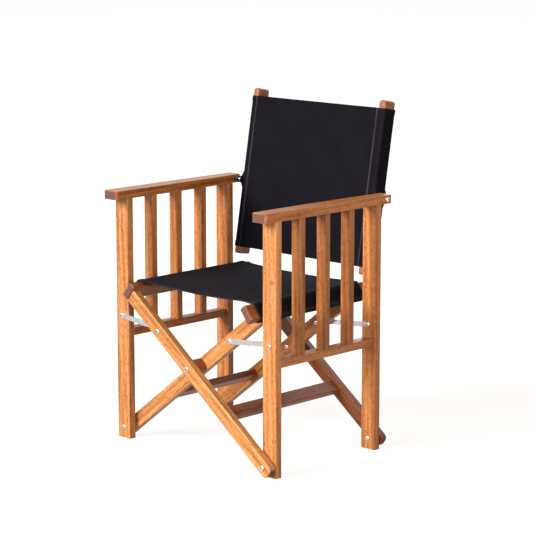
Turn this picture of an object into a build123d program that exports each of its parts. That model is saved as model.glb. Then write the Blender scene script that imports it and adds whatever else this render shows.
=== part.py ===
"""Folding director chair: slatted hardwood side frames, crossed legs, canvas seat and back.

Frame: +Z up, the chair faces -Y, +X to the right seen from the front.
The origin is on the floor, midway between the four posts.
"""
import os
from math import atan2, cos, degrees, radians, sin

from build123d import *

os.makedirs("parts", exist_ok=True)

# Side frames
frame_width = 569  # outside the posts
frame_depth = 378  # outside the posts, front to back
arm_height = 650
arm_thickness = 22
post_width = 45
post_depth = 20
arm_width = 48
arm_rear_width = 39
arm_front_overhang = 39  # past the posts
arm_rear_overhang = 35
arm_side_overhang = 2.5
arm_corner_radius = 10  # front corners
arm_rear_radius = 4
arm_taper_start = -20  # Y where the inner side starts to narrow
slat_width = 30
slat_thickness = 18
slat_pitch = 88
side_rail_height = 20
side_rail_bottom = 269
wood_round = 2  # eased edges

# Crossed legs
leg_width = 36
leg_thickness = 20
leg_angle = 37.4  # above the floor, chair open
foot_pivot_height = 28.5
foot_run = 25  # leg left beyond the foot pivot
foot_round = 14
layer_gap = 3.6  # between a post and the leg beside it
rail_start = 258  # from the cross pivot, along the leg
rail_thickness = 22
rail_width = 45
rail_shift = 6.5  # seat rail's middle, off the leg's middle
rail_length = 432
rail_round = 6
rail_end_round = 5
stretcher_width = 34
stretcher_thickness = 18
stretcher_place = 157  # below the cross pivot, along the leg

# Fittings
bolt_radius = 3
head_radius = 6
head_height = 3.6
head_rounding = 2.6
socket_radius = 2.3
socket_depth = 2
washer_radius = 8
spacer_radius = 20
running_gap = 0.05  # radial, for a pin that turns
face_gap = 0.3  # between faces that turn past each other
bush_radius = 6.5
bush_arm_gap = 1.2
link_width = 13
link_thickness = 2.5
link_height = 323.8  # link bolt on the post
link_place = 131.4  # link bolt on the leg, beyond the cross pivot
dowel_radius = 4
dowel_depth = 11
leg_dowel_depth = 9

# Back
back_bolt_y = 207
back_bolt_z = 639
back_lean = 10
upright_width = 22
upright_depth = 42
upright_above = 245  # from the bolt, along the upright
upright_below = 197
upright_outer_x = 232
upright_setback = 31  # upright's middle, behind the bolt
upright_round = 7
upright_top_round = 6.8
upright_bottom_round = 5
bracket_thickness = 3
bracket_height = 18
bracket_end = 6  # beyond the rear screw
screw_radius = 1.8
screw_length = 14
screw_head_radius = 3.6
screw_head_height = 1.8
screw_setbacks = (20, 38)

# Canvas
cloth = 1.6
cloth_gap = 0.3
seat_cloth_depth = 376
seat_hem = 4  # from the rail's lower face
seat_sags = (6, 7.8)  # below the rails, a quarter of the way across and at the middle
back_cloth_bottom = -177  # along the upright, from the bolt
back_cloth_top = 224
bracket_slit = 26  # height of the slit in the sleeve

# Worked out from the above
post_height = arm_height - arm_thickness
post_x = (frame_width - post_width) / 2
post_y = (frame_depth - post_depth) / 2
post_face = frame_depth / 2
post_inner_face = post_face - post_depth
foot_to_pivot = post_x / cos(radians(leg_angle))
pivot_height = foot_pivot_height + foot_to_pivot * sin(radians(leg_angle))
outer_leg_y = post_face + layer_gap + leg_thickness / 2
inner_leg_y = post_inner_face - layer_gap - leg_thickness / 2
arm_outer_x = frame_width / 2 + arm_side_overhang
upright_x = upright_outer_x - upright_width / 2
leg_y = {"a": outer_leg_y, "b": inner_leg_y}
sides = {"left": -1, "right": 1}
ends = {"front": -1, "rear": 1}


def save(piece, name):
    piece.part.label = name
    export_step(piece.part, f"parts/{name}.step")


def along_y(x, y, z):
    """A place whose local Z points to the rear."""
    return Location((x, y, z), (-90, 0, 0))


def along_x(x, y, z):
    """A place whose local Z points to the right."""
    return Location((x, y, z), (0, 90, 0))


# Each set of legs is laid out in its own frame at the cross pivot: local Z runs up the
# leg, local Y to the rear and local X across the leg's width.
def leg_frame(legs):
    tilt = (90 - leg_angle) * (-1 if legs == "a" else 1)
    return Location((0, 0, pivot_height), (0, tilt, 0))


# The back is laid out from its bolts: local Z runs up the upright, local Y behind it.
back_frame = Location((0, back_bolt_y, back_bolt_z), (-back_lean, 0, 0))


def bolt_head():
    """Button head with a hexagon socket, standing on local XY."""
    with BuildPart(mode=Mode.PRIVATE) as head:
        Cylinder(head_radius, head_height, align=(Align.CENTER, Align.CENTER, Align.MIN))
        fillet(head.faces().sort_by(Axis.Z)[-1].edges(), head_rounding)
        with BuildSketch(Plane.XY.offset(head_height)):
            RegularPolygon(radius=socket_radius, side_count=6)
        extrude(amount=-socket_depth, mode=Mode.SUBTRACT)
    return head.part


# ---- Side frames -----------------------------------------------------------------------
def side_dowels(side):
    """Dowels of one side frame, as places whose local Z runs down the dowel."""
    x = side * post_x
    rail_z = side_rail_bottom + side_rail_height / 2
    rail_top = side_rail_bottom + side_rail_height
    spots = [Location((x, end * post_y, post_height)) for end in ends.values()]
    spots += [along_y(x, end * post_inner_face, rail_z) for end in ends.values()]
    for k in (-1, 0, 1):
        spots += [Location((x, k * slat_pitch, z)) for z in (post_height, rail_top)]
    return spots


for side_name, side in sides.items():
    x = side * post_x
    spots = side_dowels(side)

    for end_name, end in ends.items():
        with BuildPart() as post:
            with Locations((x, end * post_y, 0)):
                Box(
                    post_width, post_depth, post_height,
                    align=(Align.CENTER, Align.CENTER, Align.MIN),
                )
            fillet(post.edges().filter_by(Axis.Z), wood_round)
            with Locations(
                along_y(x, end * post_y, foot_pivot_height), along_y(x, end * post_y, link_height)
            ):
                Cylinder(bolt_radius, 2 * post_depth, mode=Mode.SUBTRACT)
            with Locations(*spots):
                Cylinder(dowel_radius, 2 * dowel_depth, mode=Mode.SUBTRACT)
        save(post, f"{end_name}_post_{side_name}")

    with BuildPart() as side_rail:
        with Locations((x, 0, side_rail_bottom)):
            Box(
                slat_width, 2 * post_inner_face, side_rail_height,
                align=(Align.CENTER, Align.CENTER, Align.MIN),
            )
        fillet(side_rail.edges().filter_by(Axis.Y), wood_round)
        with Locations(*spots):
            Cylinder(dowel_radius, 2 * dowel_depth, mode=Mode.SUBTRACT)
    save(side_rail, f"side_rail_{side_name}")

    slat_bottom = side_rail_bottom + side_rail_height
    for number, k in enumerate((-1, 0, 1), start=1):
        with BuildPart() as slat:
            with Locations((x, k * slat_pitch, slat_bottom)):
                Box(
                    slat_width, slat_thickness, post_height - slat_bottom,
                    align=(Align.CENTER, Align.CENTER, Align.MIN),
                )
            fillet(slat.edges().filter_by(Axis.Z), wood_round)
            with Locations(*spots):
                Cylinder(dowel_radius, 2 * dowel_depth, mode=Mode.SUBTRACT)
        save(slat, f"slat_{side_name}_{number}")

    # The arm keeps its width to the middle, then narrows on its inner side.
    arm_front = -post_face - arm_front_overhang
    arm_rear = post_face + arm_rear_overhang
    outer_x = side * arm_outer_x
    inner_x = side * (arm_outer_x - arm_width)
    rear_x = side * (arm_outer_x - arm_rear_width)
    with BuildPart() as arm:
        with BuildSketch(Plane.XY.offset(post_height)):
            with BuildLine():
                Polyline(
                    (outer_x, arm_front), (outer_x, arm_rear), (rear_x, arm_rear),
                    (inner_x, arm_taper_start), (inner_x, arm_front), close=True,
                )
            make_face()
            corners = vertices().sort_by(Axis.Y)
            fillet(corners[0:2], arm_corner_radius)
            fillet(vertices().sort_by(Axis.Y)[-2:], arm_rear_radius)
        extrude(amount=arm_thickness)
        fillet(arm.faces().sort_by(Axis.Z)[-1].edges(), wood_round)
        with Locations(along_x(outer_x, back_bolt_y, back_bolt_z)):
            Cylinder(bolt_radius + running_gap, 3 * arm_width, mode=Mode.SUBTRACT)
        with Locations(*spots):
            Cylinder(dowel_radius, 2 * dowel_depth, mode=Mode.SUBTRACT)
    save(arm, f"arm_{side_name}")

    with BuildPart() as dowels:
        with Locations(*spots):
            Cylinder(dowel_radius, 2 * dowel_depth)
    save(dowels, f"dowels_{side_name}")

# Foot bolts stay in the posts. On the left they reach inward, through the inner legs; on
# the right outward, through the outer legs.
dome = bolt_head()
for side_name, side in sides.items():
    x = side * post_x
    if side_name == "left":
        head_face = post_face
        far_face = inner_leg_y - leg_thickness / 2 - face_gap
        washer_y = post_inner_face - (layer_gap - face_gap) / 2
    else:
        head_face = outer_leg_y + leg_thickness / 2 + face_gap
        far_face = post_inner_face
        washer_y = post_face + (layer_gap - face_gap) / 2

    with BuildPart() as foot_bolts:
        for end in ends.values():
            with Locations(along_y(x, end * (head_face + far_face) / 2, foot_pivot_height)):
                Cylinder(bolt_radius, head_face - far_face)
            outward = Location((x, end * head_face, foot_pivot_height), (-90 * end, 0, 0))
            inward = Location((x, end * far_face, foot_pivot_height), (90 * end, 0, 0))
            add(dome.moved(outward))
            add(dome.moved(inward))
    save(foot_bolts, f"foot_bolts_{side_name}")

    with BuildPart() as washers:
        with Locations(*[along_y(x, end * washer_y, foot_pivot_height) for end in ends.values()]):
            Cylinder(washer_radius, layer_gap - face_gap)
            Cylinder(bolt_radius, layer_gap, mode=Mode.SUBTRACT)
    save(washers, f"foot_washers_{side_name}")

    # Link bolts in the posts: the link lies outside a left post and inside a right one.
    link_far = layer_gap - (layer_gap - link_thickness) / 2 + face_gap
    outer_face = post_face + (link_far if side_name == "left" else 0)
    inner_face = post_inner_face - (0 if side_name == "left" else link_far)
    with BuildPart() as post_bolts:
        for end in ends.values():
            with Locations(along_y(x, end * (outer_face + inner_face) / 2, link_height)):
                Cylinder(bolt_radius, outer_face - inner_face)
            add(dome.moved(Location((x, end * outer_face, link_height), (-90 * end, 0, 0))))
            add(dome.moved(Location((x, end * inner_face, link_height), (90 * end, 0, 0))))
    save(post_bolts, f"link_bolts_{side_name}")

# ---- Crossed legs ----------------------------------------------------------------------
for legs in ("a", "b"):
    home = leg_frame(legs)
    y = leg_y[legs]
    across = 1 if legs == "a" else -1
    leg_bottom = -foot_to_pivot - foot_run
    rail_middle = rail_start + rail_thickness / 2
    inner_face = y - leg_thickness / 2
    spots = [home * Location((0, end * y, rail_start)) for end in ends.values()]
    spots += [home * along_y(0, end * inner_face, -stretcher_place) for end in ends.values()]
    pivot_gap = running_gap if legs == "a" else 0

    for end_name, end in ends.items():
        with BuildPart() as leg:
            with Locations(home * Location((0, end * y, leg_bottom))):
                Box(
                    leg_width, leg_thickness, rail_start - leg_bottom,
                    align=(Align.CENTER, Align.CENTER, Align.MIN),
                )
            up = Plane(home).z_dir
            fillet(
                leg.edges().filter_by(Axis.Y).sort_by(Axis(home.position, up))[:2], foot_round
            )
            fillet(leg.edges().filter_by(Axis((0, 0, 0), up)), wood_round)
            with Locations(home * along_y(0, end * y, -foot_to_pivot)):
                Cylinder(bolt_radius + running_gap, 2 * leg_thickness, mode=Mode.SUBTRACT)
            with Locations(home * along_y(0, end * y, 0)):
                Cylinder(bolt_radius + pivot_gap, 2 * leg_thickness, mode=Mode.SUBTRACT)
            with Locations(home * along_y(0, end * y, link_place)):
                Cylinder(bolt_radius, 2 * leg_thickness, mode=Mode.SUBTRACT)
            with Locations(*spots):
                Cylinder(dowel_radius, 2 * leg_dowel_depth, mode=Mode.SUBTRACT)
        save(leg, f"leg_{legs}_{end_name}")

    with BuildPart() as seat_rail:
        with Locations(home * Location((across * rail_shift, 0, rail_middle))):
            Box(rail_width, rail_length, rail_thickness)
        fillet(seat_rail.edges().filter_by(Axis.Y), rail_round)
        rail_ends = seat_rail.edges().group_by(Axis.Y)
        fillet(rail_ends[0] + rail_ends[-1], rail_end_round)
        with Locations(*spots):
            Cylinder(dowel_radius, 2 * leg_dowel_depth, mode=Mode.SUBTRACT)
    save(seat_rail, f"seat_rail_{legs}")

    with BuildPart() as stretcher:
        with Locations(home * Location((0, 0, -stretcher_place))):
            Box(stretcher_thickness, 2 * inner_face, stretcher_width)
        fillet(stretcher.edges().filter_by(Axis.Y), wood_round)
        with Locations(*spots):
            Cylinder(dowel_radius, 2 * leg_dowel_depth, mode=Mode.SUBTRACT)
    save(stretcher, f"stretcher_{legs}")

    with BuildPart() as dowels:
        with Locations(*spots):
            Cylinder(dowel_radius, 2 * leg_dowel_depth)
    save(dowels, f"dowels_{legs}")

    # Leg half of each link bolt: a shank through the leg with its head on the far side.
    outward = 1 if legs == "a" else -1
    with BuildPart() as leg_bolts:
        for end in ends.values():
            with Locations(home * along_y(0, end * y, link_place)):
                Cylinder(bolt_radius, leg_thickness)
            head_y = end * (y + outward * leg_thickness / 2)
            place = Location((0, head_y, link_place), (-90 * end * outward, 0, 0))
            add(dome.moved(home * place))
    save(leg_bolts, f"link_bolts_leg_{legs}")

# Cross pivots: bolt and wooden spacer stay with the inner legs.
pivot_outer = outer_leg_y + leg_thickness / 2 + face_gap
pivot_inner = inner_leg_y - leg_thickness / 2
spacer_outer = outer_leg_y - leg_thickness / 2 - face_gap
spacer_inner = inner_leg_y + leg_thickness / 2
with BuildPart() as pivot_bolts:
    for end in ends.values():
        with Locations(along_y(0, end * (pivot_outer + pivot_inner) / 2, pivot_height)):
            Cylinder(bolt_radius, pivot_outer - pivot_inner)
        add(dome.moved(Location((0, end * pivot_outer, pivot_height), (-90 * end, 0, 0))))
        add(dome.moved(Location((0, end * pivot_inner, pivot_height), (90 * end, 0, 0))))
save(pivot_bolts, "cross_pivot_bolts")

with BuildPart() as spacers:
    for end in ends.values():
        with Locations(along_y(0, end * (spacer_outer + spacer_inner) / 2, pivot_height)):
            Cylinder(spacer_radius, spacer_outer - spacer_inner)
            Cylinder(bolt_radius, 2 * spacer_outer, mode=Mode.SUBTRACT)
save(spacers, "cross_pivot_spacers")

# ---- Folding links ---------------------------------------------------------------------
for side_name, side in sides.items():
    post_end = Vector(side * post_x, 0, link_height)
    leg_end = Vector(
        side * link_place * cos(radians(leg_angle)), 0,
        pivot_height + link_place * sin(radians(leg_angle)),
    )
    span = leg_end - post_end
    link_angle = degrees(atan2(span.Z, span.X))
    middle = (post_end + leg_end) * 0.5
    link_offset = layer_gap / 2
    link_y = post_face + link_offset if side_name == "left" else post_inner_face - link_offset

    with BuildPart() as links:
        for end in ends.values():
            place = Location((middle.X, end * link_y, middle.Z), (0, -link_angle, 0))
            with Locations(place * Location((0, 0, 0), (-90, 0, 0))):
                Box(span.length, link_width, link_thickness)
                with Locations((-span.length / 2, 0, 0), (span.length / 2, 0, 0)):
                    Cylinder(link_width / 2, link_thickness)
            with Locations(along_y(post_end.X, end * link_y, post_end.Z)):
                Cylinder(bolt_radius + running_gap, 2 * link_thickness, mode=Mode.SUBTRACT)
            with Locations(along_y(leg_end.X, end * link_y, leg_end.Z)):
                Cylinder(bolt_radius, 2 * link_thickness, mode=Mode.SUBTRACT)
    save(links, f"folding_links_{side_name}")

    # Link half of each link bolt: a stub through the link, its head away from the leg.
    toward = -1 if side_name == "left" else 1
    with BuildPart() as studs:
        for end in ends.values():
            with Locations(along_y(leg_end.X, end * link_y, leg_end.Z)):
                Cylinder(bolt_radius, link_thickness)
            head_y = end * (link_y + toward * link_thickness / 2)
            add(dome.moved(Location((leg_end.X, head_y, leg_end.Z), (-90 * end * toward, 0, 0))))
    save(studs, f"link_studs_{side_name}")

# ---- Back ------------------------------------------------------------------------------
upright_middle = (upright_above - upright_below) / 2
upright_length = upright_above + upright_below
bracket_reach = screw_setbacks[1] + bracket_end
for side_name, side in sides.items():
    x = side * upright_x
    bracket_x = side * (upright_outer_x + bracket_thickness / 2)
    screw_places = [
        back_frame * along_x(side * (upright_outer_x + bracket_thickness), setback, 0)
        for setback in screw_setbacks
    ]

    with BuildPart() as upright:
        with Locations(back_frame * Location((x, upright_setback, upright_middle))):
            Box(upright_width, upright_depth, upright_length)
        up = Axis((0, 0, 0), Plane(back_frame).z_dir)
        fillet(upright.edges().filter_by(up), upright_round)
        fillet(upright.faces().sort_by(up)[-1].edges(), upright_top_round)
        fillet(upright.faces().sort_by(up)[0].edges(), upright_bottom_round)
        with Locations(*screw_places):
            Cylinder(screw_radius, 2 * (screw_length + bracket_thickness), mode=Mode.SUBTRACT)
    save(upright, f"back_upright_{side_name}")

    with BuildPart() as bracket:
        with Locations(back_frame * Location((bracket_x, bracket_reach / 2, 0))):
            Box(bracket_thickness, bracket_reach, bracket_height)
        with Locations(back_frame * along_x(bracket_x, 0, 0)):
            Cylinder(bracket_height / 2, bracket_thickness)
            Cylinder(bolt_radius + running_gap, 2 * bracket_thickness, mode=Mode.SUBTRACT)
        with Locations(*screw_places):
            Cylinder(screw_radius, 4 * bracket_thickness, mode=Mode.SUBTRACT)
    save(bracket, f"back_bracket_{side_name}")

    shank = screw_length + bracket_thickness
    with BuildPart() as screws:
        for setback in screw_setbacks:
            head_x = side * (upright_outer_x + bracket_thickness)
            with Locations(back_frame * along_x(head_x - side * shank / 2, setback, 0)):
                Cylinder(screw_radius, shank)
            with Locations(back_frame * along_x(head_x + side * screw_head_height / 2, setback, 0)):
                Cylinder(screw_head_radius, screw_head_height)
    save(screws, f"bracket_screws_{side_name}")

    # Back bolt: head outside the arm, spacer bush inside it, nut beyond the bracket.
    head_x = arm_outer_x + face_gap
    nut_x = upright_outer_x - face_gap
    bush_outer = arm_outer_x - arm_rear_width - bush_arm_gap
    bush_inner = upright_outer_x + bracket_thickness + face_gap
    with BuildPart() as back_bolt:
        with Locations(along_x(side * (head_x + nut_x) / 2, back_bolt_y, back_bolt_z)):
            Cylinder(bolt_radius, head_x - nut_x)
        turn = 90 * side
        add(dome.moved(Location((side * head_x, back_bolt_y, back_bolt_z), (0, turn, 0))))
        add(dome.moved(Location((side * nut_x, back_bolt_y, back_bolt_z), (0, -turn, 0))))
    save(back_bolt, f"back_bolt_{side_name}")

    with BuildPart() as bush:
        with Locations(along_x(side * (bush_outer + bush_inner) / 2, back_bolt_y, back_bolt_z)):
            Cylinder(bush_radius, bush_outer - bush_inner)
            Cylinder(bolt_radius, 2 * bush_outer, mode=Mode.SUBTRACT)
    save(bush, f"back_bush_{side_name}")

# ---- Canvas ----------------------------------------------------------------------------
# Seat: over each rail's top corner, down its outer face, with the hem tucked under.
skin = cloth / 2 + cloth_gap
wrap = []
for along, perp in (
    (rail_start + seat_hem, rail_shift - rail_width / 2 - skin),
    (rail_start + rail_thickness + skin, rail_shift - rail_width / 2 - skin),
    (rail_start + rail_thickness + skin, rail_shift + rail_width / 2 + skin),
):
    angle = radians(leg_angle)
    wrap.append((
        -along * cos(angle) + perp * sin(angle),
        pivot_height + along * sin(angle) + perp * cos(angle),
    ))
span = -wrap[2][0]
seat_line = wrap + [
    (-span * 0.5, wrap[2][1] - seat_sags[0]), (0, wrap[2][1] - seat_sags[1])
]
seat_line += [(-px, pz) for px, pz in reversed(seat_line[:-1])]
with BuildPart() as seat_canvas:
    with BuildSketch(Plane.XZ.offset(-seat_cloth_depth / 2)):
        with BuildLine():
            Polyline(*seat_line)
        trace(line_width=cloth)
    extrude(amount=seat_cloth_depth)
save(seat_canvas, "seat_canvas")

cloth_height = back_cloth_top - back_cloth_bottom
cloth_middle = (back_cloth_top + back_cloth_bottom) / 2
for side_name, side in sides.items():
    with BuildPart() as sleeve:
        with Locations(back_frame * Location((side * upright_x, upright_setback, cloth_middle))):
            Box(upright_width + 4 * skin, upright_depth + 4 * skin, cloth_height)
            Box(
                upright_width + 2 * cloth_gap, upright_depth + 2 * cloth_gap, cloth_height,
                mode=Mode.SUBTRACT,
            )
        slit_x = side * (upright_outer_x + cloth_gap + cloth)
        with Locations(back_frame * Location((slit_x, upright_setback, 0))):
            Box(2 * cloth + 1, 2 * upright_depth, bracket_slit, mode=Mode.SUBTRACT)
    save(sleeve, f"back_sleeve_{side_name}")

panel_half = upright_outer_x - upright_width - 2 * skin - cloth_gap
panel_y = upright_setback - upright_depth / 2 - cloth_gap
with BuildPart() as back_canvas:
    with Locations(back_frame * Location((0, panel_y, cloth_middle))):
        Box(2 * panel_half, cloth, cloth_height)
save(back_canvas, "back_canvas")
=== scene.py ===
import math
import random

import bmesh
import bpy
import numpy as np
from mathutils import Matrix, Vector, noise


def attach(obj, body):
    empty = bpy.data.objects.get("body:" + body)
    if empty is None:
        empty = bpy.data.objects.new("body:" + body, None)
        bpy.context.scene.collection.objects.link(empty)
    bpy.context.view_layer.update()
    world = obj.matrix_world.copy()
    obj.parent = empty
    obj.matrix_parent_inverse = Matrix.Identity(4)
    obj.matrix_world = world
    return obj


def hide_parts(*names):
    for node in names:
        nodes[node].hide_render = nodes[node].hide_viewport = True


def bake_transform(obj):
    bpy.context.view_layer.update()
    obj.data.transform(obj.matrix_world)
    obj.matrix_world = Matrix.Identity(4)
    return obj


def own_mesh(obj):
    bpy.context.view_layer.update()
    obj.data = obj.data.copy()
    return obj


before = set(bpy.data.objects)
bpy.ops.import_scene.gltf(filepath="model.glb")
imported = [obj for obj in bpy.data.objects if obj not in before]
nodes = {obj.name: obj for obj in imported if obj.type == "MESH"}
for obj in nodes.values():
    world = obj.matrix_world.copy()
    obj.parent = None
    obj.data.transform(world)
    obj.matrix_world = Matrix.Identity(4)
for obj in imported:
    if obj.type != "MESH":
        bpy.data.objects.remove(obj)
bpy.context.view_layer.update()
mm = 0.001


def hexColour(text):  # sRGB hex to the linear colour that shaders want
    parts = [int(text[i:i + 2], 16) / 255 for i in (1, 3, 5)]
    return tuple(c / 12.92 if c < 0.04045 else ((c + 0.055) / 1.055) ** 2.4 for c in parts) + (1,)


# One node. Inputs are values, sockets, or nodes whose first live output is meant; a ramp
# takes its colours or levels as "stops".
def addNode(tree, kind, settings=None, inputs=None):
    made = tree.nodes.new(kind)
    for key, value in (settings or {}).items():
        if key == "stops":
            band = made.color_ramp.elements
            while len(band) < len(value):
                band.new(0.5)
            for element, (place, tone) in zip(band, value):
                element.position = place
                element.color = hexColour(tone) if isinstance(tone, str) else (tone, tone, tone, 1)
        else:
            setattr(made, key, value)
    for key, value in (inputs or {}).items():
        socket = made.inputs[key]
        if isinstance(value, bpy.types.Node):
            value = next(o for o in value.outputs if o.enabled)
        if isinstance(value, bpy.types.NodeSocket):
            tree.links.new(value, socket)
        else:
            socket.default_value = value
    return made


def newMaterial(name):
    material = bpy.data.materials.new(name)
    material.use_nodes = True
    tree = material.node_tree
    tree.nodes.clear()
    return material, tree


def finishMaterial(tree, inputs):
    shader = addNode(tree, "ShaderNodeBsdfPrincipled", inputs=inputs)
    addNode(tree, "ShaderNodeOutputMaterial", inputs={"Surface": shader})


def smoothStep(a, b, x):
    t = np.clip((np.asarray(x, float) - a) / (b - a), 0, 1)
    return t * t * (3 - 2 * t)


# Oiled hardwood, planed and sanded: a straight, quiet figure with short dark pores and a soft
# mottle across it, a satin gloss, and sawn ends that drink the oil and go a dull purple brown.
woodLook = {
    "grain": {  # mm wide, how many times as long as wide, detail, roughness
        "figure": (15, 20, 2, 0.5),    # broad light or dark stripes
        "streaks": (2.9, 26, 3, 0.6),  # five times as wide as the real ones so that they show
        "pores": (2.3, 6, 1, 0.5),     # eight times as wide as the real ones so that they show
        "mottle": (9, 0.6, 2, 0.5),    # the shimmer across the grain
    },
    "ringWidth": 12.8,        # mm between growth lines
    "shares": {"figure": 0.36, "rings": 0.09, "streaks": 0.34, "mottle": 0.22},  # of the tone
    "tones": [(0.32, "#70411F"), (0.45, "#A26C3D"), (0.56, "#BD8553"), (0.72, "#D2A06E")],
    "pore": "#7C5038",
    "poreShare": 0.5,
    "knot": "#7A3A1A",
    "knotReach": 8,           # mm
    "ends": [(0.2, "#38201A"), (0.5, "#5E3A2E"), (0.85, "#845847")],
    "endRings": 70.0,         # per metre
    "roughness": 0.36,
    "specular": 0.42,
    "edge": "#B98A66",
    "edgeWidth": 1.5,         # mm of edge that handling has rubbed paler
    "bump": 0.1,              # mm
}
legTurn = math.radians(52.6)
lean = math.radians(10)
grains = {  # the turn that brings the board's length to local Z, and its length
    "upright": ((0, 0, 0), (0, 0, 1)),
    "deep": ((math.pi / 2, 0, 0), (0, 1, 0)),
    "legA": ((0, legTurn, 0), (-math.sin(legTurn), 0, math.cos(legTurn))),
    "legB": ((0, -legTurn, 0), (math.sin(legTurn), 0, math.cos(legTurn))),
    "leaning": ((lean, 0, 0), (0, math.sin(lean), math.cos(lean))),
}
boards = {  # start of the node's name: grain, and a painted light-and-shade wash over the wood's own colour, darker for boards that sit in shade and lighter for those in full light
    "front_post": ("upright", "#FFF4EA"),
    "rear_post": ("upright", "#F6E2CC"),
    "slat_left": ("upright", "#F6E2D0"),
    "slat_right": ("upright", "#D4BEA6"),
    "side_rail": ("deep", "#E6D0BC"),
    "arm": ("deep", "#EAD2B6"),
    "leg_a_rear": ("legA", "#A88462"),
    "leg_b_rear": ("legB", "#E8D2B0"),
    "leg_a": ("legA", "#FFFBEC"),
    "leg_b": ("legB", "#FFF8E8"),
    "seat_rail": ("deep", "#A88A64"),
    "stretcher": ("deep", "#A8825C"),
    "back_upright": ("leaning", "#C8AC86"),
    "cross_pivot_spacers": ("upright", "#A88464"),
    "dowels": ("deep", "#FFF2E0"),
}
knots = {"front_post_right": (0.2705, -0.189, 0.4805)}


def makeWood(name, grain, paintedLightTint, seed, knot=None):
    material, tree = newMaterial(name)
    turn, length = grains[grain]
    draw = random.Random(seed)
    place = tuple(draw.uniform(-4, 4) for _ in range(3))
    coords = addNode(tree, "ShaderNodeTexCoord")
    turned = addNode(
        tree, "ShaderNodeMapping",
        inputs={"Vector": coords.outputs["Object"], "Rotation": turn, "Location": place},
    )
    grainOf = {}
    for layer, (width, longer, detail, rough) in woodLook["grain"].items():
        scale = (1 / (width * mm), 1 / (width * mm), 1 / (width * longer * mm))
        grainOf[layer] = addNode(tree, "ShaderNodeTexNoise", inputs={
            "Vector": addNode(tree, "ShaderNodeMapping", inputs={"Vector": turned, "Scale": scale}),
            "Scale": 1.0, "Detail": detail, "Roughness": rough,
        })
    streaks, pores = grainOf["streaks"], grainOf["pores"]
    # growth lines wander, so they close into long flames here and there; a diagonal Wave of
    # scale 1 has its bands 1 / 2.25 apart
    ring = woodLook["ringWidth"] * mm * 2.25
    flames = addNode(
        tree, "ShaderNodeMapping", inputs={"Vector": turned, "Scale": (1 / ring, 1 / ring, 1 / (ring * 24))}
    )
    grainOf["rings"] = addNode(
        tree, "ShaderNodeTexWave",
        {"wave_type": "BANDS", "bands_direction": "DIAGONAL", "wave_profile": "SIN"},
        {"Vector": flames, "Scale": 1.0, "Distortion": 8.0,
         "Detail": 3.0, "Detail Scale": 0.6, "Detail Roughness": 0.6},
    )
    tone = 0.0
    for layer, share in woodLook["shares"].items():
        weighed = addNode(tree, "ShaderNodeMath", {"operation": "MULTIPLY"}, {0: grainOf[layer], 1: share})
        tone = addNode(tree, "ShaderNodeMath", {"operation": "ADD"}, {0: weighed, 1: tone})
    colour = addNode(tree, "ShaderNodeValToRGB", {"stops": woodLook["tones"]}, {"Fac": tone})
    poreMask = addNode(tree, "ShaderNodeValToRGB", {"stops": [(0.57, 0.0), (0.7, 1.0)]}, {"Fac": pores})
    poreShare = addNode(
        tree, "ShaderNodeMath", {"operation": "MULTIPLY"}, {0: poreMask, 1: woodLook["poreShare"]}
    )
    colour = addNode(
        tree, "ShaderNodeMix", {"data_type": "RGBA", "blend_type": "MULTIPLY"},
        {"Factor": poreShare, 6: colour, 7: hexColour(woodLook["pore"])},
    )
    # painted light and shade: each board is darkened or lightened to stand in for the light it gets
    colour = addNode(
        tree, "ShaderNodeMix", {"data_type": "RGBA", "blend_type": "MULTIPLY"},
        {"Factor": 1.0, 6: colour, 7: hexColour(paintedLightTint)},
    )
    if knot:
        away = addNode(
            tree, "ShaderNodeVectorMath", {"operation": "DISTANCE"}, {0: coords.outputs["Object"], 1: knot}
        )
        share = addNode(
            tree, "ShaderNodeMath", {"operation": "DIVIDE"}, {0: away, 1: woodLook["knotReach"] * mm}
        )
        spot = addNode(tree, "ShaderNodeValToRGB", {"stops": [(0.25, 0.7), (1.0, 0.0)]}, {"Fac": share})
        colour = addNode(
            tree, "ShaderNodeMix", {"data_type": "RGBA"},
            {"Factor": spot, 6: colour, 7: hexColour(woodLook["knot"])},
        )

    # sawn ends: the face looks along the board's length
    facing = addNode(
        tree, "ShaderNodeVectorMath", {"operation": "DOT_PRODUCT"}, {0: coords.outputs["Normal"], 1: length}
    )
    eitherWay = addNode(tree, "ShaderNodeMath", {"operation": "ABSOLUTE"}, {0: facing})
    endMask = addNode(tree, "ShaderNodeValToRGB", {"stops": [(0.72, 0.0), (0.9, 1.0)]}, {"Fac": eitherWay})
    endRings = addNode(
        tree, "ShaderNodeTexWave", {"wave_type": "RINGS", "rings_direction": "Z", "wave_profile": "SIN"},
        {"Vector": turned, "Scale": woodLook["endRings"], "Distortion": 3.0,
         "Detail": 2.0, "Detail Scale": 0.6},
    )
    halfRings = addNode(tree, "ShaderNodeMath", {"operation": "MULTIPLY"}, {0: endRings, 1: 0.35})
    endTone = addNode(tree, "ShaderNodeMath", {"operation": "MULTIPLY_ADD"}, {0: pores, 1: 0.6, 2: halfRings})
    endColour = addNode(tree, "ShaderNodeValToRGB", {"stops": woodLook["ends"]}, {"Fac": endTone})
    colour = addNode(
        tree, "ShaderNodeMix", {"data_type": "RGBA"}, {"Factor": endMask, 6: colour, 7: endColour}
    )

    # rubbed edges: where a rounded normal leaves the flat one
    rounded = addNode(tree, "ShaderNodeBevel", {"samples": 4}, {"Radius": woodLook["edgeWidth"] * mm})
    bend = addNode(
        tree, "ShaderNodeVectorMath", {"operation": "DOT_PRODUCT"},
        {0: rounded, 1: addNode(tree, "ShaderNodeNewGeometry").outputs["Normal"]},
    )
    edge = addNode(tree, "ShaderNodeValToRGB", {"stops": [(0.8, 0.3), (0.985, 0.0)]}, {"Fac": bend})
    colour = addNode(
        tree, "ShaderNodeMix", {"data_type": "RGBA", "blend_type": "SCREEN"},
        {"Factor": edge, 6: colour, 7: hexColour(woodLook["edge"])},
    )

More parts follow.
